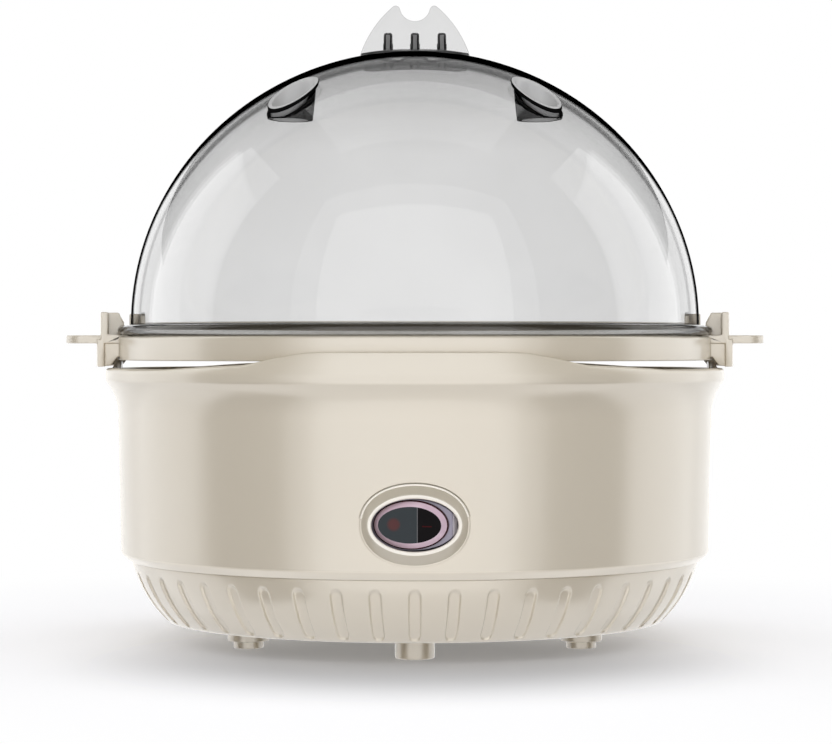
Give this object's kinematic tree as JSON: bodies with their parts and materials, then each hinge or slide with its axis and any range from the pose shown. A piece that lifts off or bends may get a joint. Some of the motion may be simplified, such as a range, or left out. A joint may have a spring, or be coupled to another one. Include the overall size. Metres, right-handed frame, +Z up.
{
  "type": "electric egg cooker",
  "caption": "Round electric egg steamer: cream base with an oval rocker switch, lift-out egg tray with side grips and a smoked dome lid with a clear notched handle.",
  "frame": {"origin": "on the worktop, under the middle of the round body", "axes": "+Z up; -Y is the front with the switch; +Y is the back with the cord inlet; X runs from grip to grip"},
  "size_m": [0.1924, 0.1722, 0.1767],
  "materials": {
    "cream_plastic": "satin moulded polypropylene, warm cream",
    "smoked_plastic": "clear polycarbonate with a grey smoke tint, glossy",
    "clear_plastic": "clear polycarbonate with a faint grey tint, glossy",
    "switch_lens": "glossy translucent dark red lens, nearly black when unlit",
    "black_plastic": "black moulded plastic",
    "white_plastic": "white heat-resistant moulding",
    "gland_plastic": "cream nylon bush",
    "lamp_glass": "neon lamp glass",
    "brass_blade": "stamped blade terminals",
    "steel_pan": "drawn stainless pan, brushed",
    "steel_tube": "steel sheath of the tube heater, dull",
    "steel_sheet": "plain zinc-plated sheet",
    "steel_screw": "zinc-plated fasteners",
    "silicone_seal": "soft white silicone",
    "brown_sleeve": "brown lead insulation",
    "blue_sleeve": "blue lead insulation",
    "green_yellow_sleeve": "green and yellow lead insulation"
  },
  "bodies": {
    "base": {"block_screw": "steel_screw", "cord_gland": "gland_plastic", "cover_screws": "steel_screw", "earth_tab": "steel_screw", "element_pins": "steel_screw", "fuse_strap": "steel_sheet", "heating_element": "steel_tube", "heating_plate": "steel_pan", "lead_earth": "green_yellow_sleeve", "lead_fuse": "blue_sleeve", "lead_heater": "brown_sleeve", "lead_lamp": "blue_sleeve", "lead_live": "brown_sleeve", "lead_neutral": "blue_sleeve", "lead_switched": "brown_sleeve", "lower_cover": "cream_plastic", "pan_nuts": "steel_screw", "pan_studs": "steel_screw", "plate_seal": "silicone_seal", "switch_body": "black_plastic", "switch_lamp": "lamp_glass", "switch_terminals": "brass_blade", "terminal_block": "white_plastic", "thermal_fuse": "steel_sheet", "thermostat": "black_plastic", "thermostat_bracket": "steel_sheet", "thermostat_terminals": "brass_blade", "upper_housing": "cream_plastic", "well_insert": "cream_plastic"},
    "rocker": {"switch_rocker": "switch_lens"},
    "tray": {"egg_tray": "cream_plastic"},
    "lid": {"lid_dome": "smoked_plastic", "steam_vents": "smoked_plastic", "lid_handle": "clear_plastic"}
  },
  "joints": [
    {"name": "rocker_tilt", "type": "hinge", "parent": "base", "child": "rocker", "pos_m": [0, -0.0756, 0.0368], "axis": [0, 0, 1], "range_deg": [0, 17.4]},
    {"name": "tray_lift", "type": "slide", "parent": "base", "child": "tray", "axis": [0, 0, 1], "range_m": [0, 0.12]},
    {"name": "lid_lift", "type": "slide", "parent": "tray", "child": "lid", "axis": [0, 0, 1], "range_m": [0, 0.12]}
  ]
}
